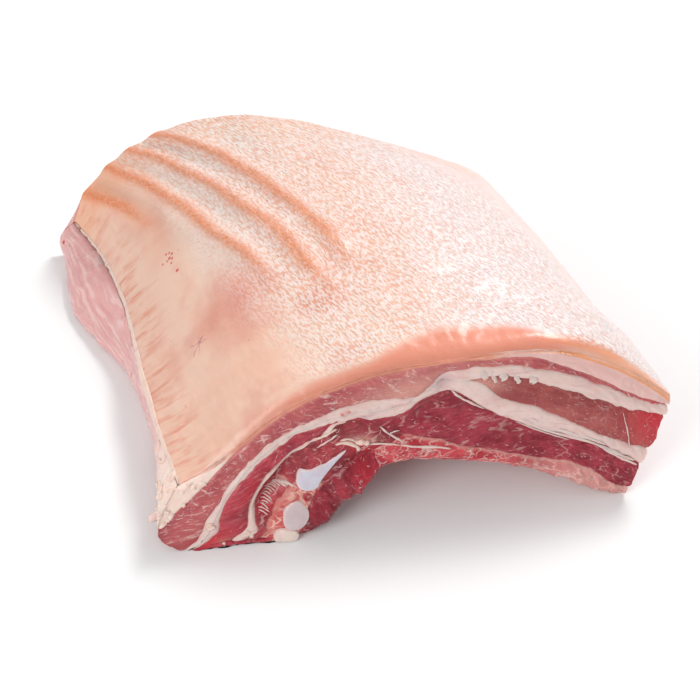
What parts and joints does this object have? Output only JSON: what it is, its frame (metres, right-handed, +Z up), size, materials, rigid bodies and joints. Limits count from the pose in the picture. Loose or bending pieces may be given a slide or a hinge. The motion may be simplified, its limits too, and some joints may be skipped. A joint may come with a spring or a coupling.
{
  "type": "pork belly slab",
  "caption": "Raw bone-in, rind-on slab of pork belly, bent like a barrel vault, with layered fat, lean and gristle at its cut faces.",
  "frame": {"origin": "on the ground under the middle of the slab", "axes": "+X runs along the front cut face, to its right, -Y faces out of the front cut face, +Z is up"},
  "size_m": [0.2971, 0.206, 0.0836],
  "materials": {
    "rind": "raw pork rind, moist, satin",
    "fat": "raw fat, moist, satin",
    "lean_brown": "raw brownish lean, moist",
    "lean_red": "raw red lean, wet",
    "lean_dark": "raw dark lean, wet",
    "lining": "raw pink lining with fat, moist",
    "gristle": "bluish white gristle, smooth, wet"
  },
  "bodies": {
    "root": {"rind_fat_cap": "rind", "lean_outer": "lean_brown", "fat_band": "fat", "lean_wedge": "lean_brown", "lean_left": "lean_red", "fat_strip": "fat", "lean_inner": "lean_dark", "lean_rib": "lean_brown", "rib_bed": "lining", "meat_roll": "lean_red", "rib_lining": "lining", "gristle_upper": "gristle", "gristle_middle": "gristle", "gristle_lower": "gristle"}
  },
  "joints": []
}
